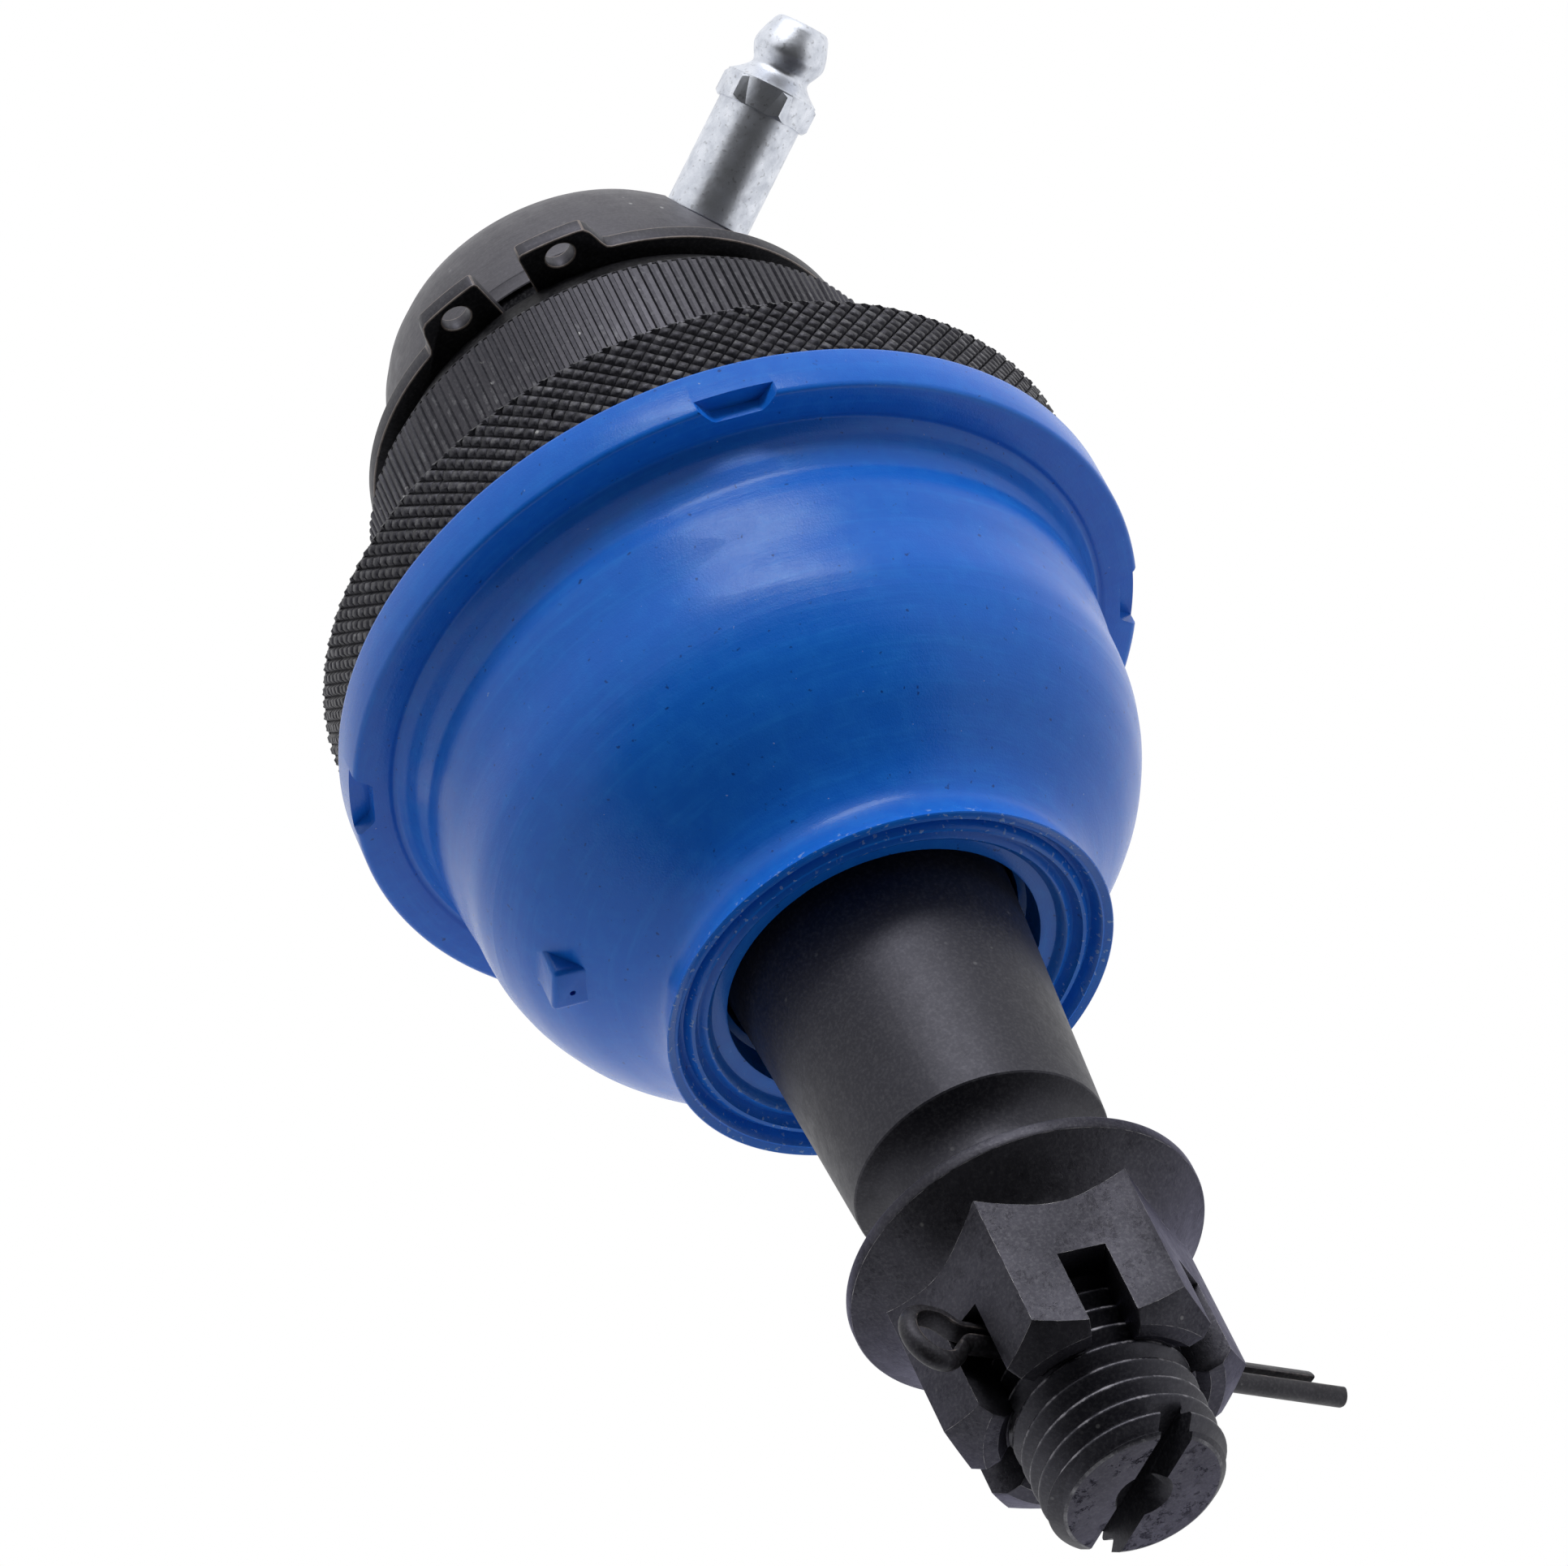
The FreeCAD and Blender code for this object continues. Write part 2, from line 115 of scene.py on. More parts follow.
choose = node_at(sky, "ShaderNodeMixShader", 0)
sky_out = node_at(sky, "ShaderNodeOutputWorld", 200)
wire(sky, (sky_dir.outputs["Generated"], toward.inputs[0]), (toward.outputs["Value"], ramp.inputs["Value"]),
     (ramp.outputs["Result"], soft.inputs["Color"]), (show_white, choose.inputs[0]),
     (soft.outputs[0], choose.inputs[1]), (white.outputs[0], choose.inputs[2]),
     (choose.outputs[0], sky_out.inputs[0]))

# The table top is flat white to the camera and in reflections, and paper to all other light
bpy.ops.object.select_all(action="DESELECT")
bpy.ops.mesh.primitive_plane_add(size=6, location=(0, 0, TABLE_Z))
table_top = bpy.context.object
table_top.name = "table_top"
table_top.visible_shadow = False
paper = bpy.data.materials.new("white_paper")
paper.use_nodes = True
tree = paper.node_tree
tree.nodes.clear()
seen = node_at(tree, "ShaderNodeLightPath", -600).outputs
flat_white = maths(tree, "MAXIMUM", seen["Is Camera Ray"], seen["Is Transmission Ray"])
flat_white = maths(tree, "MAXIMUM", flat_white, seen["Is Glossy Ray"])
dull = node_at(tree, "ShaderNodeBsdfDiffuse", -200, -200, Color=(0.82, 0.82, 0.82, 1))
glow = node_at(tree, "ShaderNodeEmission", -200, -400, Strength=1.0)
both = node_at(tree, "ShaderNodeMixShader", 0)
out = node_at(tree, "ShaderNodeOutputMaterial", 200)
wire(tree, (flat_white, both.inputs[0]), (dull.outputs[0], both.inputs[1]), (glow.outputs[0], both.inputs[2]),
     (both.outputs[0], out.inputs[0]))
table_top.data.materials.append(paper)


def lamp(name, direction, distance, long, wide, power):
    """Flat lamp that shines on the joint, its long side level with the picture's lower edge."""
    light = bpy.data.lights.new(name, "AREA")
    light.shape, light.size, light.size_y, light.energy = "RECTANGLE", long, wide, power
    body = bpy.data.objects.new(name, light)
    away = Vector(direction).normalized()
    level = (LOOK_RIGHT - away * LOOK_RIGHT.dot(away)).normalized()
    body.matrix_world = (Matrix.Translation(away * distance + LAMP_AIM)
                         @ Matrix((level, away.cross(level), away)).transposed().to_4x4())
    bpy.context.scene.collection.objects.link(body)


up, right, back = -LOOK_DOWN, LOOK_RIGHT, -LOOK_AHEAD
lamp("overhead_panel", up * 0.99 + right * 0.03 + back * 0.07, distance=0.9, long=0.54, wide=0.54, power=1.95)
lamp("strip_lamp", up * 0.93 - right * 0.09 + back * 0.25, distance=0.9, long=0.56, wide=0.20, power=5.0)


# Housing
# One steel forging, turned, then rolled: the dome, the snap ring groove, straight splines
# that bite into the arm, and a flange whose edge carries a diamond knurl. Black phosphate.
DOME = [(-34.4, 0), (-34.4, 7.4), (-34.2, 9.5), (-33.7, 11.6), (-33, 13.3), (-32, 14.8), (-30.7, 16.2),
        (-29, 17.4), (-27, 18.3), (-25, 18.9), (-22.5, 19.4), (-20.3, 19.6)]
WELD, ON_PLANE = 0.001 * MM, 0.0001 * MM
GROOVE_LOW, GROOVE_HIGH, GROOVE_R, NECK_END = -18.8, -15.6, 19.0, -10.5
SPLINES, SPLINE_ROOT, SPLINE_TOP = 170, 24.85, 25.2
SPLINE_START, SPLINE_STEPS = -10.75, (0.25, 0.35, 4.0, 6.0, 7.8)
SPLINE_TIP, SPLINE_CHAMFER = 0.15, 0.65
KNURLS, KNURL_ROWS, KNURL_ROOT, KNURL_TOP = 146, 5, 34.94, 35.38
KNURL_WALL, KNURL_REACH, KNURL_INSIDE = 0.30, 0.15, 0.985
TOP_UNEVEN, ROOT_UNEVEN = 0.09, 0.05
FLANGE_LOW, FLANGE_HIGH = 7.45, 15.0


def smooth_line(points, per=4):
    """Points along a smooth curve through the given (z, r) points."""
    line = []
    for i in range(len(points) - 1):
        a = points[max(i - 1, 0)]
        b, c = points[i], points[i + 1]
        d = points[min(i + 2, len(points) - 1)]
        for k in range(per):
            t = k / per
            line.append(tuple(0.5 * (2 * b[j] + (c[j] - a[j]) * t
                                     + (2 * a[j] - 5 * b[j] + 4 * c[j] - d[j]) * t * t
                                     + (3 * b[j] - a[j] - 3 * c[j] + d[j]) * t ** 3) for j in (0, 1)))
    return line + [points[-1]]


def added(name):
    """The object just added is named, and its place and turn go into the mesh."""
    piece = bpy.context.object
    piece.name = piece.data.name = name
    bpy.context.view_layer.update()
    piece.data.transform(piece.matrix_world)
    piece.matrix_world = Matrix.Identity(4)
    return piece


def pick(*pieces):
    """Only these pieces are selected, and the first is active."""
    bpy.ops.object.select_all(action="DESELECT")
    for piece in pieces:
        piece.select_set(True)
    bpy.context.view_layer.objects.active = pieces[0]


def edit(piece):
    """Edit mode, with all of the piece's mesh selected."""
    pick(piece)
    bpy.ops.object.mode_set(mode="EDIT")
    bpy.ops.mesh.select_all(action="SELECT")


def leave_outward():
    """All normals of the mesh point outward, and edit mode ends."""
    bpy.ops.mesh.select_all(action="SELECT")
    bpy.ops.mesh.normals_make_consistent(inside=False)
    bpy.ops.object.mode_set(mode="OBJECT")


def line_of(name, points):
    """A new piece in edit mode: one point, extruded from each (x, y, z) in millimetres to the next."""
    bpy.ops.object.select_all(action="DESELECT")
    bpy.ops.mesh.primitive_plane_add(size=1 * MM)
    piece = bpy.context.object
    piece.name = piece.data.name = name
    bpy.ops.object.mode_set(mode="EDIT")
    bpy.ops.mesh.select_mode(type="VERT")
    bpy.ops.mesh.select_all(action="SELECT")
    bpy.ops.mesh.merge(type="CENTER")
    bpy.ops.transform.translate(value=Vector(points[0]) * MM)
    for here, there in zip(points, points[1:]):
        step = (Vector(there) - Vector(here)) * MM
        bpy.ops.mesh.extrude_region_move(TRANSFORM_OT_translate={"value": step})
    bpy.ops.mesh.select_all(action="SELECT")
    return piece


def turned(name, outline, steps=256, angle=30):
    """The outline of (z, r) in millimetres is spun about Z."""
    piece = line_of(name, [(r, 0, z) for z, r in outline])
    bpy.ops.mesh.spin(steps=steps, angle=2 * math.pi, center=(0, 0, 0), axis=(0, 0, 1))
    bpy.ops.mesh.select_all(action="SELECT")
    bpy.ops.mesh.remove_doubles(threshold=WELD)
    leave_outward()
    smooth(piece, angle)
    return piece


def smooth(piece, angle=30):
    """Smooth shading, with edges above the angle in degrees left sharp."""
    pick(piece)
    bpy.ops.object.shade_smooth_by_angle(angle=math.radians(angle))


def join(*parts):
    """Several meshes become one piece, named as the first."""
    pick(*parts)
    bpy.ops.object.join()
    return parts[0]


def combine(piece, kind, *tools):
    """Booleans with each tool in turn, done at a thousand times the size, where they come out clean."""
    pick(piece)
    piece.data.transform(Matrix.Scale(1000, 4))
    for tool in tools:
        tool.data.transform(Matrix.Scale(1000, 4))
        step = piece.modifiers.new("step", "BOOLEAN")
        step.operation, step.object, step.solver = kind, tool, "EXACT"
        bpy.ops.object.modifier_apply(modifier=step.name)
        bpy.data.objects.remove(tool)
    piece.data.transform(Matrix.Scale(0.001, 4))
    return piece


def weld(piece):
    """Points that booleans left within two thousandths of a millimetre of each other become one."""
    edit(piece)
    bpy.ops.mesh.remove_doubles(threshold=2 * WELD)
    bpy.ops.mesh.dissolve_degenerate(threshold=2 * WELD)
    bpy.ops.object.mode_set(mode="OBJECT")


def block(size, centre, turn=0.0):
    """Square block; size and centre in millimetres before the turn about Z."""
    bpy.ops.object.select_all(action="DESELECT")
    bpy.ops.mesh.primitive_cube_add(size=1)
    tool = added("block")
    sides = Matrix.Diagonal((*(Vector(size) * MM), 1))
    tool.data.transform(Matrix.Rotation(turn, 4, "Z") @ Matrix.Translation(Vector(centre) * MM) @ sides)
    return tool


housing = turned("housing_shell", DOME + [
    (-20.1, 19.5), (-18.9, 19.5), (GROOVE_LOW, 19.42), (GROOVE_LOW, GROOVE_R), (GROOVE_HIGH, GROOVE_R),
    (GROOVE_HIGH, 21.1), (-15.45, 21.3), (-10.6, 24.95), (NECK_END, 24.9), (FLANGE_LOW, 24.9),
    (FLANGE_LOW, 34.95), (FLANGE_LOW + 0.1, 35.12), (FLANGE_LOW + 0.26, 35.1), (FLANGE_LOW + 0.3, 34.9),
    (FLANGE_HIGH - 0.1, 34.9), (FLANGE_HIGH, 34.8), (FLANGE_HIGH, 31.0), (18.5, 31.0), (18.6, 30.9),
    (18.6, 20.8), (17.8, 20.0), (15.05, 20.0), (15.05, 21.5), (11.0, 21.5), (11.0, 17.4), (-20.0, 17.4),
    (-20.0, 11.5), (-26.0, 11.5), (-28.0, 9.5), (-28.0, 0)])


def rod(radius, length, centre, vertices=48):
    """Upright cutting rod in millimetres."""
    bpy.ops.object.select_all(action="DESELECT")
    bpy.ops.mesh.primitive_cylinder_add(vertices=vertices, radius=radius * MM, depth=length * MM,
                                        location=Vector(centre) * MM)
    return added("rod")


# The grease nipple's place: its axis leans back from the dome, which has a flat spot face for it
NIPPLE_TURN, NIPPLE_LEAN = math.radians(-153.7), math.radians(27.0)
FOOT_R, FOOT_Z, FOOT_TO_TIP = 17.9, -27.6, 19.1
SIDEWAYS = Vector((math.cos(NIPPLE_TURN), math.sin(NIPPLE_TURN), 0))
INWARD = Vector((0, 0, math.sin(NIPPLE_LEAN))) - SIDEWAYS * math.cos(NIPPLE_LEAN)
TIP = SIDEWAYS * FOOT_R + Vector((0, 0, FOOT_Z)) - INWARD * FOOT_TO_TIP
to_nipple = Matrix.Translation(TIP * MM) @ INWARD.to_track_quat("Z", "Y").to_matrix().to_4x4()

SPOT_R, SPOT_Z, DRILL_R, DRILL_Z = 4.5, 16.7, 3.0, 24.7
spot = rod(SPOT_R, 6, (0, 0, SPOT_Z), vertices=96)
drill = rod(DRILL_R, 12, (0, 0, DRILL_Z))
for tool in (spot, drill):
    tool.data.transform(to_nipple)
combine(housing, "DIFFERENCE", spot, drill)

# Splines: one ring of tooth outlines, drawn down over the band; no two teeth are quite alike
SHARE = (0.0, 0.20, 0.32, 0.68, 0.80)    # each point's place in its pitch
RISE = (0.0, 0.06, 1.0, 1.0, 0.06)       # and its height, from root to top
random.seed(7)
bpy.ops.object.select_all(action="DESELECT")
bpy.ops.mesh.primitive_circle_add(vertices=SPLINES * len(SHARE), radius=SPLINE_ROOT * MM, fill_type="NGON",
                                  location=(0, 0, SPLINE_START * MM))
splines = added("splines")
pitch = 2 * math.pi / SPLINES
chip = [random.random() for _ in range(SPLINES)]
for v in splines.data.vertices:
    n, k = divmod(v.index, len(SHARE))
    random.seed(1000 + n)
    wide, high, lean = random.uniform(0.85, 1.15), random.uniform(0.86, 1.0), random.uniform(-0.03, 0.03)
    share = 0.5 + (SHARE[k] - 0.5) * (wide if k else 1) + (lean if k else 0)
    a = (n + share) * pitch
    r = SPLINE_ROOT + (SPLINE_TOP - SPLINE_ROOT) * RISE[k] * high
    v.co.x, v.co.y = math.cos(a) * r * MM, math.sin(a) * r * MM
edit(splines)
for step in SPLINE_STEPS:
    bpy.ops.mesh.extrude_region_move(TRANSFORM_OT_translate={"value": (0, 0, step * MM)})
leave_outward()
for v in splines.data.vertices:
    above, r = v.co.z / MM - SPLINE_START, math.hypot(v.co.x, v.co.y) / MM
    if above < SPLINE_CHAMFER:
        n = int((math.atan2(v.co.y, v.co.x) / pitch) % SPLINES)
        top = SPLINE_ROOT + 0.02 if above < SPLINE_TIP else SPLINE_ROOT + 0.2 + 0.15 * chip[n]
        keep = min(r, top) / r
        v.co.x, v.co.y = v.co.x * keep, v.co.y * keep
smooth(splines, 25)

# Knurl: a ring of square faces is poked and its square edges dissolved, which leaves diamonds,
# and the inset of each diamond rises into a flat-topped tooth
bpy.ops.object.select_all(action="DESELECT")
bpy.ops.mesh.primitive_cylinder_add(vertices=KNURLS, radius=KNURL_ROOT * MM, end_fill_type="NOTHING",
                                    depth=(FLANGE_HIGH - FLANGE_LOW) * MM,
                                    location=(0, 0, (FLANGE_HIGH + FLANGE_LOW) / 2 * MM))
knurl = added("knurl")
bpy.ops.object.mode_set(mode="EDIT")
for row in range(1, KNURL_ROWS):
    z = FLANGE_LOW + (FLANGE_HIGH - FLANGE_LOW) * row / KNURL_ROWS
    bpy.ops.mesh.select_all(action="SELECT")
    bpy.ops.mesh.bisect(plane_co=(0, 0, z * MM), plane_no=(0, 0, 1), threshold=ON_PLANE)
bpy.ops.mesh.select_all(action="SELECT")
bpy.ops.mesh.poke(offset=0)
bpy.ops.object.mode_set(mode="OBJECT")
net = knurl.data
square = []
for e in net.edges:
    a, b = (net.vertices[i].co for i in e.vertices)
    d = b - a
    upright = math.hypot(d.x, d.y) < 0.1 * MM
    level = abs(d.z) < 0.1 * MM and FLANGE_LOW + 0.01 < a.z / MM < FLANGE_HIGH - 0.01
    square.append(upright or level)
bpy.ops.object.mode_set(mode="EDIT")
bpy.ops.mesh.select_mode(type="EDGE")
bpy.ops.mesh.select_all(action="DESELECT")
bpy.ops.object.mode_set(mode="OBJECT")
for e, chosen in zip(net.edges, square):
    e.select = chosen
bpy.ops.object.mode_set(mode="EDIT")
bpy.ops.mesh.dissolve_edges(use_verts=False, use_face_split=False)
bpy.ops.mesh.select_mode(type="FACE")
bpy.ops.mesh.select_all(action="SELECT")
bpy.ops.mesh.inset(thickness=KNURL_WALL * MM, depth=0, use_individual=True)
bpy.ops.object.mode_set(mode="OBJECT")
random.seed(21)
# A corner of an inset diamond has three edges; whole diamonds get longer along one diagonal
links = [0] * len(net.vertices)
for e in net.edges:
    for i in e.vertices:
        links[i] += 1
for face in net.polygons:
    if all(links[i] == 3 for i in face.vertices):
        across = Vector((face.center.y, -face.center.x, 0)).normalized()
        along = (across + Vector((0, 0, 1))).normalized()
        for i in face.vertices:
            ahead = (net.vertices[i].co - face.center).dot(along)
            net.vertices[i].co += along * math.copysign(KNURL_REACH * MM, ahead)
for v in net.vertices:
    r = math.hypot(v.co.x, v.co.y) / MM
    inner = FLANGE_LOW + 0.05 < v.co.z / MM < FLANGE_HIGH - 0.05
    if links[v.index] == 3 and inner:
        goal = KNURL_TOP - random.random() * TOP_UNEVEN
    else:
        goal = KNURL_ROOT + random.random() * ROOT_UNEVEN
    v.co.x, v.co.y = v.co.x / r * goal, v.co.y / r * goal
bpy.ops.object.mode_set(mode="EDIT")
bpy.ops.mesh.select_all(action="DESELECT")
bpy.ops.mesh.select_mode(type="EDGE")
bpy.ops.mesh.select_non_manifold(extend=False)    # the two rims, drawn inward and joined
bpy.ops.mesh.extrude_region_move()
bpy.ops.transform.resize(value=(KNURL_INSIDE, KNURL_INSIDE, 1.0), center_override=(0, 0, 0))
bpy.ops.mesh.bridge_edge_loops()
leave_outward()
smooth(knurl, 75)


def new_group(name, ins, outs):
    """Shader group with named inputs (name, kind, value) and outputs (name, kind)."""
    group = bpy.data.node_groups.new(name, "ShaderNodeTree")
    for label, kind, value in ins:
        socket = group.interface.new_socket(label, in_out="INPUT", socket_type="NodeSocket" + kind)
        socket.default_value = value
    for label, kind in outs:
        group.interface.new_socket(label, in_out="OUTPUT", socket_type="NodeSocket" + kind)
    return group, group.nodes.new("NodeGroupInput"), group.nodes.new("NodeGroupOutput")


def noise(tree, vector, scale, detail=3.0, rough=0.5):
    """Value of a noise texture."""
    texture = node_at(tree, "ShaderNodeTexNoise", Scale=scale, Detail=detail, Roughness=rough)
    tree.links.new(vector, texture.inputs["Vector"])
    return texture.outputs["Fac"]


def stretch(tree, value, low, high, to_low=0.0, to_high=1.0):
    """Map Range from low..high, clamped."""
    node = node_at(tree, "ShaderNodeMapRange", From_Min=low, From_Max=high, To_Min=to_low, To_Max=to_high)
    tree.links.new(value, node.inputs["Value"])
    return node.outputs["Result"]


def blend_colours(tree, share, a, b):
    """Colour a, with the share of b over it."""
    node = tree.nodes.new("ShaderNodeMix")
    node.data_type = "RGBA"
    for socket, value in ((node.inputs[0], share), (node.inputs[6], a), (node.inputs[7], b)):
        if isinstance(value, (int, float)):
            socket.default_value = value
        elif isinstance(value, tuple):
            socket.default_value = (*value, 1)
        else:
            tree.links.new(value, socket)
    return node.outputs[2]


# Tool marks: noise drawn out into thin lines that run round the axis
tool_marks, m_in, m_out = new_group("tool_marks", [
    ("Position", "Vector", (0, 0, 0)), ("Round", "Float", 2.5), ("Fine", "Float", 1300.0)],
    [("Lines", "Float")])
m = tool_marks
split = m.nodes.new("ShaderNodeSeparateXYZ")
m.links.new(m_in.outputs["Position"], split.inputs[0])
squares = [maths(m, "MULTIPLY", split.outputs[axis], split.outputs[axis]) for axis in "XY"]
from_axis = maths(m, "SQRT", maths(m, "ADD", *squares))
drawn = m.nodes.new("ShaderNodeCombineXYZ")
for axis in "XY":
    unit = maths(m, "DIVIDE", split.outputs[axis], from_axis)
    m.links.new(maths(m, "MULTIPLY", unit, m_in.outputs["Round"]), drawn.inputs[axis])
m.links.new(maths(m, "MULTIPLY", split.outputs["Z"], m_in.outputs["Fine"]), drawn.inputs["Z"])
streaks = node_at(m, "ShaderNodeTexNoise", Scale=1.0, Detail=3.0, Roughness=0.7)
streaks.noise_dimensions = "4D"
wire(m, (drawn.outputs[0], streaks.inputs["Vector"]), (streaks.outputs["Fac"], m_out.inputs[0]),
     (maths(m, "MULTIPLY", from_axis, m_in.outputs["Fine"]), streaks.inputs["W"]))


def marks_on(tree, vector, round_by, fine):
    """The tool marks' value. A high round_by breaks the lines up, and a high fine makes them thin."""
    node = tree.nodes.new("ShaderNodeGroup")
    node.node_tree = tool_marks
    node.inputs["Round"].default_value, node.inputs["Fine"].default_value = round_by, fine
    tree.links.new(vector, node.inputs["Position"])
    return node.outputs["Lines"]


# Dark steel: uneven phosphate with a fine grain, pale rubbed marks, tool marks, pits and some specks
dark_steel, g_in, g_out = new_group("dark_steel", [
    ("Position", "Vector", (0, 0, 0)), ("Colour", "Color", (0.05, 0.05, 0.05, 1)),
    ("Rubbed", "Color", (0.3, 0.28, 0.26, 1)), ("Wear", "Float", 0.0), ("Specks", "Float", 0.5),
    ("Marks", "Float", 0.0), ("Pits", "Float", 0.0)],
    [("Colour", "Color"), ("Roughness", "Float"), ("Height", "Float")])
g = dark_steel
place = g_in.outputs["Position"]
cloud = noise(g, place, 110, 4, 0.6)
grain = noise(g, place, 3200, 2, 0.6)
smear = noise(g, place, 700, 5, 0.7)
worn = maths(g, "ADD", g_in.outputs["Wear"], maths(g, "MULTIPLY", maths(g, "SUBTRACT", smear, 0.5), 1.6))
worn = maths(g, "MULTIPLY", stretch(g, worn, 0.45, 0.85), stretch(g, g_in.outputs["Wear"], 0.02, 0.2))
dots = node_at(g, "ShaderNodeTexVoronoi", Scale=520, Randomness=1.0)
g.links.new(place, dots.inputs["Vector"])
speck = stretch(g, dots.outputs["Distance"], 0.12, 0.06)
speck = maths(g, "MULTIPLY", speck, stretch(g, noise(g, place, 160, 2), 0.54, 0.62))
speck = maths(g, "MULTIPLY", speck, g_in.outputs["Specks"])
scored = maths(g, "MULTIPLY", marks_on(g, place, 3.0, 2600), g_in.outputs["Marks"])
pitted = maths(g, "MULTIPLY", stretch(g, noise(g, place, 1300, 4, 0.75), 0.47, 0.40),
               stretch(g, noise(g, place, 330, 2), 0.44, 0.56))
pitted = maths(g, "MULTIPLY", pitted, g_in.outputs["Pits"])
tone = blend_colours(g, stretch(g, cloud, 0.3, 0.7, 0.0, 0.45), g_in.outputs["Colour"], (0.0, 0.0, 0.0))
for share in (stretch(g, scored, 0.45, 0.8, 0.0, 0.12), stretch(g, grain, 0.45, 0.8, 0.0, 0.10)):
    tone = blend_colours(g, share, tone, (0.30, 0.30, 0.32))
tone = blend_colours(g, worn, tone, g_in.outputs["Rubbed"])
tone = blend_colours(g, speck, tone, (0.42, 0.42, 0.42))
tone = blend_colours(g, maths(g, "MULTIPLY", pitted, 0.8), tone, (0.0, 0.0, 0.0))
relief = maths(g, "ADD", maths(g, "ADD", grain, speck), maths(g, "MULTIPLY", scored, 2.0))
relief = maths(g, "SUBTRACT", relief, maths(g, "MULTIPLY", pitted, 3.0))
wire(g, (tone, g_out.inputs["Colour"]), (relief, g_out.inputs["Height"]),
     (stretch(g, smear, 0.3, 0.7, 0.40, 0.54), g_out.inputs["Roughness"]))


def new_finish(name):
    """A material, its node tree, its Principled shader and its Object coordinates."""
    finish = bpy.data.materials.new(name)
    finish.use_nodes = True
    tree = finish.node_tree
    where = node_at(tree, "ShaderNodeTexCoord", -1100).outputs["Object"]
    return finish, tree, tree.nodes["Principled BSDF"], where


def cover(tree, surface, colour, roughness, height, strength, distance):
    """Colour, roughness and a bump made from the height go into the shader."""
    bump = node_at(tree, "ShaderNodeBump", -250, -300, Strength=strength, Distance=distance)
    wire(tree, (colour, surface.inputs["Base Color"]), (roughness, surface.inputs["Roughness"]),
         (height, bump.inputs["Height"]), (bump.outputs["Normal"], surface.inputs["Normal"]))


def steel(name, colour, rubbed, wear=0.0, specks=0.3, metal=0.0, grain=0.25, specular=0.60, crest=None,
          marks=0.0, pits=0.0):
    """One dark steel finish; wear, specks, marks and pits are shares. With a crest of (from, to, share)
    the wear rises between two radii in millimetres."""
    finish, tree, surface, where = new_finish(name)
    look = node_at(tree, "ShaderNodeGroup", -500)
    look.node_tree = dark_steel
    look.inputs["Colour"].default_value = (*colour, 1)
    look.inputs["Rubbed"].default_value = (*rubbed, 1)
    for label, value in (("Wear", wear), ("Specks", specks), ("Marks", marks), ("Pits", pits)):
        look.inputs[label].default_value = value
    if crest:
        flat = node_at(tree, "ShaderNodeVectorMath", -950)
        flat.operation = "MULTIPLY"
        flat.inputs[1].default_value = (1 / MM, 1 / MM, 0)
        far = node_at(tree, "ShaderNodeVectorMath", -800)
        far.operation = "LENGTH"
        wire(tree, (where, flat.inputs[0]), (flat.outputs[0], far.inputs[0]),
             (stretch(tree, far.outputs["Value"], crest[0], crest[1], wear, crest[2]), look.inputs["Wear"]))
    surface.inputs["Metallic"].default_value = metal
    surface.inputs["Specular IOR Level"].default_value = specular
    surface.inputs["Specular Tint"].default_value = (0.84, 0.83, 1.0, 1)
    tree.links.new(where, look.inputs["Position"])
    cover(tree, surface, look.outputs["Colour"], look.outputs["Roughness"], look.outputs["Height"], grain,
          0.05 * MM)
    return finish


def dress(piece, *finishes):
    """The finishes fill the piece's material slots in turn; softened edges take the second."""
    for i, finish in enumerate(finishes):
        if i < len(piece.data.materials):
            piece.data.materials[i] = finish
        else:
            piece.data.materials.append(finish)


# The dome has the finish of its forging; teeth and knurl are rubbed pale on their crests
forged = steel("black_forging", (0.060, 0.058, 0.064), (0.17, 0.16, 0.16), specks=0.5, marks=0.9)
# Near-black and barely reflecting: painted shade for the ring groove and the neck
groove_shade = steel("groove_painted_shade", (0.004, 0.004, 0.005), (0.05, 0.05, 0.05), specks=0.2, specular=0.04)
toothed = steel("black_teeth", (0.004, 0.004, 0.006), (0.16, 0.16, 0.17), specks=0.9,
                crest=(25.02, 25.18, 0.45), specular=0.5)
knurled = steel("black_knurl", (0.002, 0.002, 0.003), (0.17, 0.17, 0.18), specks=0.7,
                crest=(35.2, 35.3, 0.45), specular=0.43)
dress(housing, forged, groove_shade)
# The ring groove and the neck below it take this finish: painted shade, near-black and duller, for the shadow
# they lie in
for face in housing.data.polygons:
    if GROOVE_LOW - 0.05 < face.center.z / MM < NECK_END + 0.1:
        face.material_index = 1
dress(splines, toothed)
dress(knurl, knurled)
housing = join(housing, splines, knurl)
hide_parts("housing_body")
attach(housing, "root")


# Bearing shells, preload washer, closing ring and boot rings
# Sintered shells hold the ball from both sides, a conical washer presses them together, and a
# steel ring under the housing's rolled lip keeps them in. Two plain rings press the boot's rim on
# the housing and its lip on the stud. Housing and boot hide them all.
sintered = steel("sintered_steel", (0.10, 0.09, 0.08), (0.25, 0.24, 0.22), specks=0.1, metal=0.6)
plain = steel("plain_steel", (0.30, 0.30, 0.30), (0.5, 0.5, 0.5), specks=0.1, metal=0.9)
for name, finish in (("upper_bearing", sintered), ("lower_bearing", sintered), ("preload_spring", plain),
                     ("closing_ring", forged), ("boot_rim_ring", plain), ("boot_lip_ring", plain)):
    dress(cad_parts[name], finish)


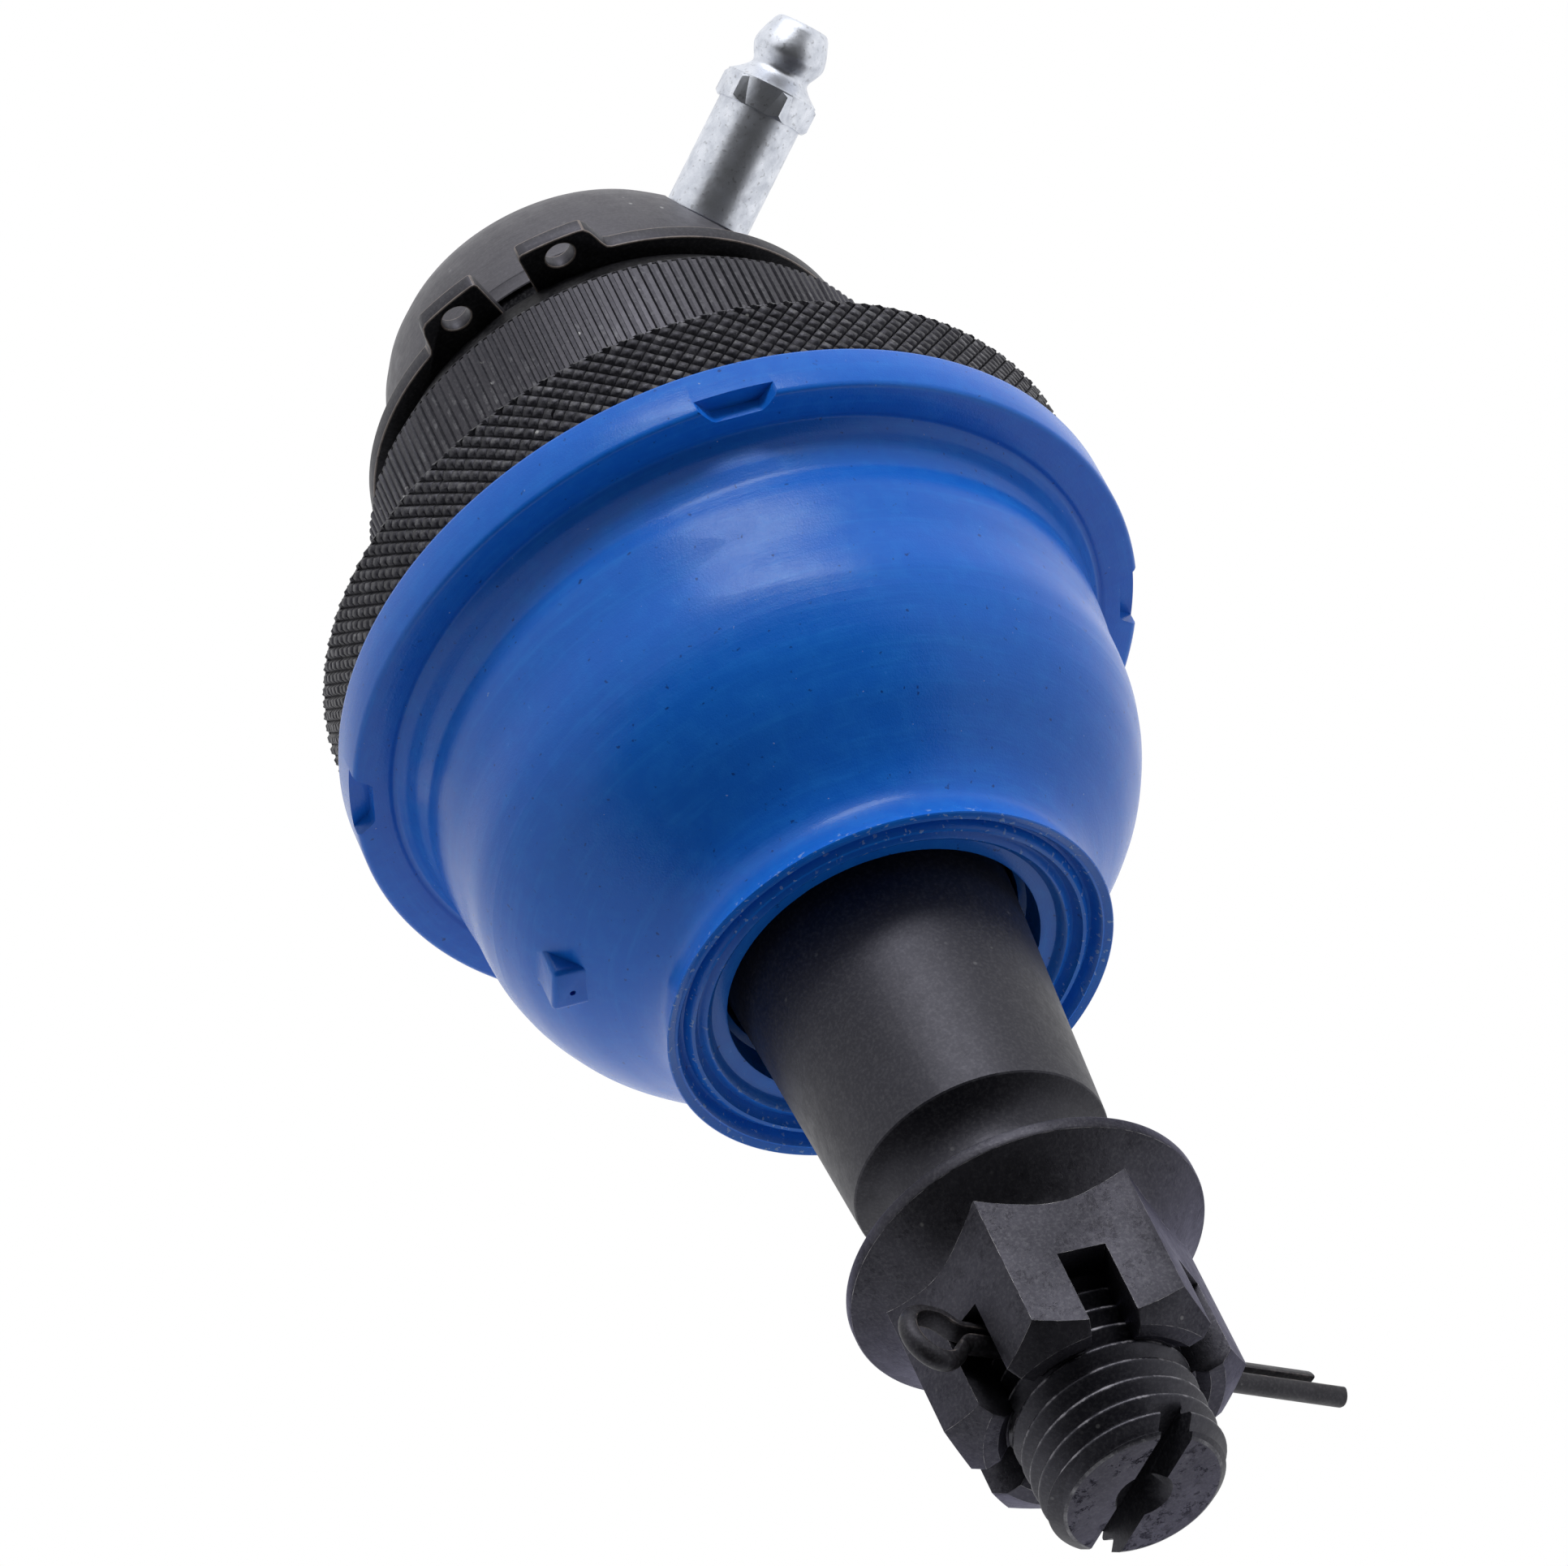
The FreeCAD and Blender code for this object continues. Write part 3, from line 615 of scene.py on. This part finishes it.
# Snap ring
# An external ring punched from black spring steel, sprung open over the dome into its groove.
# Two lugs with plier holes; its outer edge is rubbed pale.
RING_LOW, RING_THICK, RING_IN, RING_OUT, LUG_OUT = -17.15, 1.5, 19.05, 23.1, 26.1
RING_FROM, LUG_END, LUG_START, RING_TO = -78.0, -65.0, 259.0, 272.5    # degrees, once round
SWEEP = 6.0
HOLE_R, HOLES_AT, HOLE_TURNS = 1.35, 24.05, (-69.9, -95.7)


def ring_edge(a):
    """Outer radius of the snap ring at angle a; it falls off from a lug within SWEEP degrees."""
    out = max(0.0, 1 - max(0.0, a - LUG_END) / SWEEP, 1 - max(0.0, LUG_START - a) / SWEEP)
    return RING_OUT + (LUG_OUT - RING_OUT) * out * out * (3 - 2 * out)


def polar(r, a):
    """Radius and degrees become (x, y)."""
    return (r * math.cos(math.radians(a)), r * math.sin(math.radians(a)))


def plate(name, outline, low, thick):
    """A flat outline of (x, y) in millimetres is filled and drawn up into a plate."""
    piece = line_of(name, [(x, y, low) for x, y in outline + outline[:1]])
    bpy.ops.mesh.remove_doubles(threshold=WELD)
    bpy.ops.mesh.edge_face_add()
    bpy.ops.mesh.extrude_region_move(TRANSFORM_OT_translate={"value": (0, 0, thick * MM)})
    leave_outward()
    return piece


def soften(piece, width, segments=2, limit=35):
    """Sharp edges get a narrow round, whose faces take the piece's second material."""
    rim = piece.modifiers.new("rim", "BEVEL")
    rim.width, rim.segments, rim.material = width * MM, segments, 1
    rim.limit_method, rim.angle_limit = "ANGLE", math.radians(limit)
    pick(piece)
    bpy.ops.object.modifier_apply(modifier=rim.name)


LUG_CORNER = ((0.5, 0.0), (0.12, 0.3), (0.0, 1.0))    # millimetres in from the edge, degrees from the end
turn = [RING_FROM + (RING_TO - RING_FROM) * k / 300 for k in range(301)]
outline = [polar(RING_IN, a) for a in turn[::-1]]
outline += [polar(LUG_OUT - less, RING_FROM + a) for less, a in LUG_CORNER]
outline += [polar(ring_edge(a), a) for a in turn if RING_FROM + 1.5 < a < RING_TO - 1.5]
outline += [polar(LUG_OUT - less, RING_TO - a) for less, a in LUG_CORNER[::-1]]
snap_ring = plate("snap_ring_worn", outline, RING_LOW, RING_THICK)
combine(snap_ring, "DIFFERENCE", *[rod(HOLE_R, 6, (*polar(HOLES_AT, a), RING_LOW)) for a in HOLE_TURNS])
dress(snap_ring, steel("ring_black", (0.004, 0.004, 0.004), (0.06, 0.05, 0.05), specks=0.15),
      steel("ring_edge", (0.030, 0.026, 0.025), (0.20, 0.17, 0.15), wear=0.8))
soften(snap_ring, 0.14)
smooth(snap_ring, 30)
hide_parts("snap_ring")
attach(snap_ring, "root")


# Grease nipple
# A turned and hollow zinc-plated fitting, screwed slantwise into a spot face on the dome: headed
# tip, neck, a hexagon for the spanner and a plain shank. Its check ball shows in the mouth.
BORE = [(26, 0.8), (9.5, 0.8), (9.5, 1.3), (1.05, 1.3), (0.7, 0.95), (0.15, 0.95), (0, 1.1)]
HEAD = [(0.5, 2.72), (1.8, 3.2), (2.6, 3.4), (3.2, 3.4), (3.9, 3.1), (4.6, 2.76), (5.1, 2.9), (5.7, 3.5),
        (6.35, 4.35)]
SHANK = [(8.9, 4.1), (8.95, 3.9), (8.95, 3.97), (19.55, 3.97), (19.7, 3.85), (19.7, 2.95), (25.5, 2.95),
         (26, 2.5)]
nipple = turned("nipple_body", BORE + [(0, 2.25), (0.12, 2.45)] + smooth_line(HEAD, 5) + SHANK + BORE[:1], 96)


def hexagon(name, flats, tall, z, turn):
    """Hexagonal block about Z, by its width across flats, in millimetres."""
    bpy.ops.object.select_all(action="DESELECT")
    bpy.ops.mesh.primitive_cylinder_add(vertices=6, radius=flats / 2 / math.cos(math.pi / 6) * MM,
                                        depth=tall * MM, location=(0, 0, z * MM), rotation=(0, 0, turn))
    return added(name)


COLLAR_FLATS, COLLAR_TALL, COLLAR_Z, COLLAR_TURN = 8.0, 2.6, 7.65, 0.35
collar = hexagon("nipple_collar", COLLAR_FLATS, COLLAR_TALL, COLLAR_Z, COLLAR_TURN)
limit = turned("collar_limit", [(6.3, 0), (6.3, 4.15), (6.75, 4.62), (8.6, 4.62), (9.0, 4.2), (9.0, 0)], 96)
combine(collar, "INTERSECT", limit)
soften(collar, 0.12)
smooth(collar, 25)
nipple = join(nipple, collar)
nipple.data.transform(to_nipple)

zinc, tree, surface, where = new_finish("zinc_plate")
blotch = noise(tree, where, 700, 5, 0.65)
pits = noise(tree, where, 2400, 2, 0.5)
tone = blend_colours(tree, stretch(tree, blotch, 0.35, 0.7), (0.76, 0.79, 0.86), (0.54, 0.57, 0.64))
tone = blend_colours(tree, stretch(tree, pits, 0.60, 0.72, 0.0, 0.5), tone, (0.25, 0.25, 0.26))
surface.inputs["Metallic"].default_value = 1.0
cover(tree, surface, tone, stretch(tree, blotch, 0.3, 0.7, 0.26, 0.42), maths(tree, "ADD", blotch, pits),
      0.25, 0.04 * MM)
dress(nipple, zinc)
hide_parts("grease_nipple")
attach(nipple, "root")
dress(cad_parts["nipple_check_ball"], plain)


# Check spring
# Six turns of fine spring wire inside the nipple. Its first turn bears on the check ball and
# its last one stands on the chamber's floor.
SPRING_START, SPRING_END, SPRING_TURNS, COIL, SPRING_WIRE = 3.02, 9.3, 6, 1.05, 0.12
bpy.ops.object.select_all(action="DESELECT")
bpy.ops.mesh.primitive_circle_add(vertices=8, radius=SPRING_WIRE * MM, rotation=(math.pi / 2, 0, 0),
                                  location=(COIL * MM, 0, SPRING_START * MM))
spring = added("check_coil")
coil = spring.modifiers.new("coil", "SCREW")
coil.screw_offset, coil.iterations = (SPRING_END - SPRING_START) / SPRING_TURNS * MM, SPRING_TURNS
coil.steps = coil.render_steps = 16
bpy.ops.object.modifier_apply(modifier=coil.name)
edit(spring)
bpy.ops.mesh.fill_holes(sides=0)
leave_outward()
smooth(spring, 50)
spring.data.transform(to_nipple)
dress(spring, plain)
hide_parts("nipple_spring")
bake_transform(spring)


# Boot
# Blue rubber moulded in one piece: a thick rim pressed on the housing, a domed wall that folds as
# the stud tilts, and a ridged lip that seals on the stud. It is two meshes, split at a seam in the wall.
RIM = [(15.1, 36.15), (15.25, 36.3), (15.5, 36.36), (19.4, 36.4), (19.72, 36.3), (19.87, 36.12),
       (19.92, 35.9), (19.92, 33.3), (19.9, 33.1), (19.82, 32.95), (19.78, 32.75), (19.82, 32.55),
       (19.95, 32.42)]
WALL_OUT = [(20.25, 32.2), (20.8, 31.88), (21.6, 31.62), (22.5, 31.4), (23.3, 31.15), (24.1, 30.95),
            (25.0, 30.93), (26.5, 30.95), (28.5, 30.8), (31, 30.52), (34, 30.4), (36, 30.2), (38, 29.72)]
TOP_OUT = [(38, 29.72), (39.5, 29.15), (42, 27.9), (45, 25.6), (47.5, 23.0), (49.5, 21.0), (51, 19.95),
           (52.4, 19.35), (53.6, 19.3), (55, 19.6), (55.9, 20.05)]
LIP = [(56.1, 20.2), (56.2, 20.1), (56.1, 19.75), (55.95, 19.45), (56.05, 19.25), (55.9, 19.1),
       (55.2, 18.85), (54.85, 18.6), (54.95, 18.35), (55.5, 18.1), (55.75, 17.85), (55.7, 17.55),
       (55.1, 17.25), (54.75, 17.0), (54.85, 16.75), (55.15, 16.5), (55.25, 16.3), (55.1, 16.05),
       (54.6, 15.8), (54.4, 15.6), (54.38, 14.4), (54.3, 14.2)]
TOP_IN = [(47.6, 16.5), (46.9, 19.6), (46.1, 21.6), (43.56, 24.2), (40.9, 26.2), (38, 27.62)]
WALL_IN = [(38, 27.62), (35.6, 28.3), (32.9, 28.6), (27, 28.9), (23.5, 29.2)]
ROUND = 320
BEND_FROM, SEAM_Z, BEND_TO = 20.6, 38.0, 47.4    # the two meshes meet at the seam; the bend limits are listed below but not used

lower_boot = turned("boot_wall", smooth_line(WALL_IN, 4) + [(18.9, 29.6), (18.9, 32.35), (15.1, 32.35)] + RIM
                    + smooth_line(WALL_OUT, 5) + [WALL_IN[0]], ROUND, 40)
upper_boot = turned("boot_lip", smooth_line(TOP_OUT, 5) + LIP + [(50.9, 14.2), (50.6, 13.55), (49, 13.55)]
                    + smooth_line(TOP_IN, 4) + [TOP_OUT[0]], ROUND, 40)

# Four notches in the rim's front corner
NOTCH = [(37, 4.6), (36.42, 3.9), (36.1, 3.45), (34.9, 2.5), (34.62, 2.1)]
NOTCH_LOW, NOTCH_TURNS = 18.5, (-106.5, -16.2, 73.5, 163.2)
for degrees in NOTCH_TURNS:
    notch = plate("notch", NOTCH + [(x, -y) for x, y in NOTCH[::-1]], NOTCH_LOW, 3)
    notch.data.transform(Matrix.Rotation(math.radians(degrees), 4, "Z"))
    combine(lower_boot, "DIFFERENCE", notch)
smooth(lower_boot, 40)

# A small step stands on the shoulder, with a pit in its face; its foot ends inside the wall
NUB_SIZE, NUB_AT, NUB_TURN = (4.6, 4.7, 6), (24.8, 1.8, 43.4), math.radians(-19.5)
PIT_R, PIT_AT, NUB_FOOT = 0.28, (25.3, 2.3, 46.4), 0.6
nub = block(NUB_SIZE, NUB_AT, NUB_TURN)
soften(nub, 0.5, 3)
pit = rod(PIT_R, 1.2, PIT_AT, vertices=12)
pit.data.transform(Matrix.Rotation(NUB_TURN, 4, "Z"))
hollow = turned("hollow", [(36, 0), (36, 28.2)] + [(z, r + NUB_FOOT) for z, r in TOP_IN[::-1]]
                + [(48.2, 0)], 96)
combine(nub, "DIFFERENCE", pit, hollow)
combine(upper_boot, "UNION", nub)
smooth(upper_boot, 40)

# Blue rubber: soft clouds and faint turned lines, dark dots, dust, and crumbs along the lip's edge
LIP_EDGE, LIP_TOP = 54.8 * MM, 55.7 * MM
rubber, tree, surface, where = new_finish("blue_rubber")
split = node_at(tree, "ShaderNodeSeparateXYZ")
tree.links.new(where, split.inputs[0])
lines = marks_on(tree, where, 2.5, 1300)
broad = noise(tree, where, 45, 3, 0.5)
mottle = noise(tree, where, 500, 4, 0.65)
fine = noise(tree, where, 5200, 2, 0.7)
fleck = noise(tree, where, 1600, 2, 0.5)
edge = stretch(tree, split.outputs["Z"], LIP_EDGE, LIP_TOP)
crumbs = maths(tree, "MULTIPLY", edge, stretch(tree, fleck, 0.63, 0.70))
dust = maths(tree, "ADD", stretch(tree, fleck, 0.77, 0.80), crumbs)
tone = blend_colours(tree, stretch(tree, broad, 0.35, 0.65), (0.005, 0.110, 0.53), (0.007, 0.121, 0.565))
tone = blend_colours(tree, stretch(tree, mottle, 0.45, 0.75, 0.0, 0.18), tone, (0.02, 0.25, 0.74))
tone = blend_colours(tree, stretch(tree, lines, 0.52, 0.75, 0.0, 0.16), tone, (0.03, 0.30, 0.80))
dots = noise(tree, where, 1500, 2, 0.5)
tone = blend_colours(tree, stretch(tree, dots, 0.30, 0.24), tone, (0.004, 0.05, 0.25))
tone = blend_colours(tree, maths(tree, "MINIMUM", dust, 0.5), tone, (0.30, 0.42, 0.62))
surface.inputs["Specular IOR Level"].default_value = 0.28
surface.inputs["Specular Tint"].default_value = (0.80, 0.92, 1.0, 1)
relief = maths(tree, "ADD", fine, maths(tree, "MULTIPLY", mottle, 0.5))
relief = maths(tree, "ADD", maths(tree, "ADD", relief, lines), dust)
cover(tree, surface, tone, stretch(tree, mottle, 0.3, 0.75, 0.20, 0.28), relief, 0.4, 0.05 * MM)
for part, low, high, start, end in ((lower_boot, "root", "boot", BEND_FROM, SEAM_Z),
                                    (upper_boot, "boot", "boot_lip", SEAM_Z, BEND_TO)):
    dress(part, rubber)
    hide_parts("boot")
    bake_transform(part)


# Ball stud
# Forged and ground steel: the ball in its bearing, a neck, the 1:8 taper that pulls into the
# knuckle, a relief, and a rolled M16 thread with a screwdriver slot and a centre hole in its end.
BALL_R = 15.6
THREAD_LOW, THREAD_TOP, THREAD_START, PITCH = 84.6, 115.9, 79.96, 2.0
END_CUT_Z, END_CUT_R = 115.75, 6.5
SLOT_WIDE, SLOT_AT, SLOT_TURN = 3.0, (0, -0.3, 117.8), math.radians(46)
ball = [(BALL_R * math.sin(math.radians(a)), BALL_R * math.cos(math.radians(a))) for a in range(-66, 57, 3)]
neck = [(28, 8.5), (33, 9.0), (38, 10.2), (42, 11.7), (45, 12.9), (48, 13.25)]
undercut = [(78.15, 11.36), (78.3, 11.25), (78.45, 10.9), (78.75, 10.2), (79.3, 9.4), (80.1, 8.8),
            (81.2, 8.35), (82, 8.2), (83.6, 8.2), (84.0, 8.0), (84.4, 7.5), (84.9, 6.6), (86.5, 6.6), (86.5, 0)]
shank = turned("stud_worn", [(-14.5, 0), (-14.5, 5.6), (-14.45, 5.76)] + ball + [(13.1, 8.5), (28, 8.5)]
               + smooth_line(neck, 4) + undercut, 192)

# The thread: one tooth's outline is wound up the end, cut flat below and above, and chamfered
tooth = [(0.0, 6.9), (0.14, 6.98), (0.74, 7.84), (0.85, 7.96), (0.95, 8.0), (1.05, 8.0), (1.15, 7.96),
         (1.26, 7.84), (1.86, 6.98), (2.0, 6.9)]
thread = line_of("stud_thread", [(r, 0, THREAD_START + z) for z, r in tooth])
bpy.ops.object.mode_set(mode="OBJECT")
wind = thread.modifiers.new("wind", "SCREW")
wind.angle, wind.screw_offset, wind.iterations = 2 * math.pi, PITCH * MM, 19
wind.steps = wind.render_steps = 64
bpy.ops.object.modifier_apply(modifier=wind.name)
edit(thread)
bpy.ops.mesh.remove_doubles(threshold=WELD)
for z, below in ((THREAD_LOW, True), (THREAD_TOP, False)):
    bpy.ops.mesh.select_all(action="SELECT")
    bpy.ops.mesh.bisect(plane_co=(0, 0, z * MM), plane_no=(0, 0, 1), use_fill=True, clear_inner=below,
                        clear_outer=not below, threshold=ON_PLANE)
leave_outward()

stud_black = steel("stud_black", (0.007, 0.007, 0.010), (0.12, 0.12, 0.13), specks=0.15, marks=0.35,
                   specular=0.47)
thread_black = steel("thread_black", (0.004, 0.004, 0.007), (0.32, 0.31, 0.34), specks=0.2,
                     crest=(7.90, 8.0, 0.58))
stud_end = steel("stud_end", (0.080, 0.078, 0.096), (0.12, 0.12, 0.13), specks=0.3, metal=1.0, grain=0.5,
                 pits=1.0)
end_edge = steel("end_edge", (0.016, 0.016, 0.019), (0.22, 0.22, 0.23), wear=0.55, specks=0.3)
for part in (shank, thread):
    dress(part, stud_black, thread_black, stud_end, end_edge)
for face in thread.data.polygons:
    face.material_index = 1
limit = turned("thread_limit", [(84, 0), (84, 6.3), (86.2, 8.3), (114.5, 8.2), (END_CUT_Z, 6.92),
                                (115.95, 6.55), (115.95, 0)], 96)
combine(thread, "INTERSECT", limit)
stud = combine(shank, "UNION", thread)
combine(stud, "DIFFERENCE", block((30, SLOT_WIDE, 10), SLOT_AT, SLOT_TURN),
        turned("centre", [(111.6, 0), (115.75, 2.35), (116.1, 2.7), (116.1, 0)], 48))
weld(stud)
for face in stud.data.polygons:
    if face.center.z / MM > THREAD_TOP - 0.01:
        face.material_index = 2
    elif face.center.z / MM > END_CUT_Z and math.hypot(face.center.x, face.center.y) / MM > END_CUT_R:
        face.material_index = 3
smooth(stud, 35)
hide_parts("ball_stud")
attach(stud, "stud")


# Castle nut
# Forged with its flange, then turned, slotted six times across the flats and tapped. Black, with
# its corners and the edges of the slots rubbed pale.
NUT_FLATS, NUT_TURN, NUT_BORE_R = 23.0, math.radians(-52), 8.05
HEX_TALL, HEX_Z = 21.9, 99.05
CASTLE_WIDE, CASTLE_FLOOR, CASTLE_TALL = 4.2, 98.7, 20
nut = hexagon("nut_castle", NUT_FLATS, HEX_TALL, HEX_Z, NUT_TURN + math.pi / 6 + math.pi / 2)
shape = turned("nut_shape", [(80, 0), (80, 16), (104.9, 13.32), (107, 10.6), (107, 9.3), (106.2, 8.3),
                             (106.2, 0)], 96)
flange = turned("nut_flange", [(88.0, 0), (88.0, 15.5), (88.1, 15.65), (88.25, 15.7), (89.1, 15.7),
                               (89.28, 15.62), (89.4, 15.45), (91.0, 13.55), (92.6, 12.0), (93.6, 11.3),
                               (93.9, 10.6), (93.9, 0)], 192)
combine(nut, "INTERSECT", shape)
combine(nut, "UNION", flange)
combine(nut, "DIFFERENCE", rod(NUT_BORE_R, 30, (0, 0, 99), vertices=96),
        *[block((40, CASTLE_WIDE, CASTLE_TALL), (0, 0, CASTLE_FLOOR + CASTLE_TALL / 2),
                NUT_TURN + math.radians(60 * k)) for k in range(3)])
weld(nut)
dress(nut, steel("nut_black", (0.056, 0.055, 0.067), (0.12, 0.12, 0.14), wear=0.06, specks=0.2, metal=1.0,
                 pits=0.3),
      steel("nut_edge", (0.05, 0.05, 0.058), (0.38, 0.37, 0.38), wear=0.55, metal=1.0))
soften(nut, 0.13, 2, 28)
smooth(nut, 30)
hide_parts("castle_nut")
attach(nut, "stud")


# Split pin
# Half-round wire folded on itself: an eye outside the nut and two legs through slot and stud,
# the longer one nearer the stud's end, both still straight.
PIN_Z, PIN_TURN, PIN_SIDE = 100.35, math.radians(131.5), 0.4
WIRE_HALF, WIRE_TALL, WIRE_GAP = 1.0, 1.3, 0.3
LEG_LONG, LEG_SHORT = 27.4, 24.5
LOOP_X, LOOP_RADIUS, LOOP_RISE, LOOP_SQUEEZE, BEND_RADIUS = -15.1, 2.2, 0.55, 0.13, 2.0
opening = math.asin((WIRE_GAP + BEND_RADIUS) / (LOOP_RADIUS + BEND_RADIUS))
bend_x = LOOP_X + (LOOP_RADIUS + BEND_RADIUS) * math.cos(opening)
half_round = [polar(1.0, a) for a in range(0, 181, 15)]
pin = line_of("pin_wire", [(LEG_LONG, PIN_SIDE + WIRE_HALF * y, WIRE_GAP + WIRE_TALL * z)
                           for y, z in half_round])
bpy.ops.mesh.edge_face_add()
bpy.ops.mesh.extrude_region_move(TRANSFORM_OT_translate={"value": ((bend_x - LEG_LONG) * MM, 0, 0)})
for steps, swing, x, z in ((6, math.pi / 2 - opening, bend_x, WIRE_GAP + BEND_RADIUS),
                           (28, 2 * opening - 2 * math.pi, LOOP_X, 0),
                           (6, math.pi / 2 - opening, bend_x, -WIRE_GAP - BEND_RADIUS)):
    bpy.ops.mesh.spin(steps=steps, angle=-swing, center=(x * MM, 0, z * MM), axis=(0, 1, 0))
bpy.ops.mesh.extrude_region_move(TRANSFORM_OT_translate={"value": ((LEG_SHORT - bend_x) * MM, 0, 0)})
leave_outward()
# The eye lifts toward the stud's end, and its far side is pressed in a little
for v in pin.data.vertices:
    t = min(1.0, max(0.0, (bend_x - v.co.x / MM) / (bend_x - LOOP_X)))
    v.co.z += LOOP_RISE * t * t * (3 - 2 * t) * MM
    v.co.x += max(0.0, LOOP_X * MM - v.co.x) * LOOP_SQUEEZE
dress(pin, steel("pin_black", (0.010, 0.009, 0.010), (0.10, 0.09, 0.08), specks=0.3, specular=0.35),
      steel("pin_edge", (0.014, 0.012, 0.012), (0.14, 0.12, 0.11), wear=0.5, specular=0.4))
soften(pin, 0.2, 2, 50)
pin.data.transform(Matrix.Translation((0, 0, PIN_Z * MM)) @ Matrix.Rotation(PIN_TURN, 4, "Z"))
smooth(pin, 40)
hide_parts("cotter_pin")
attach(pin, "stud")
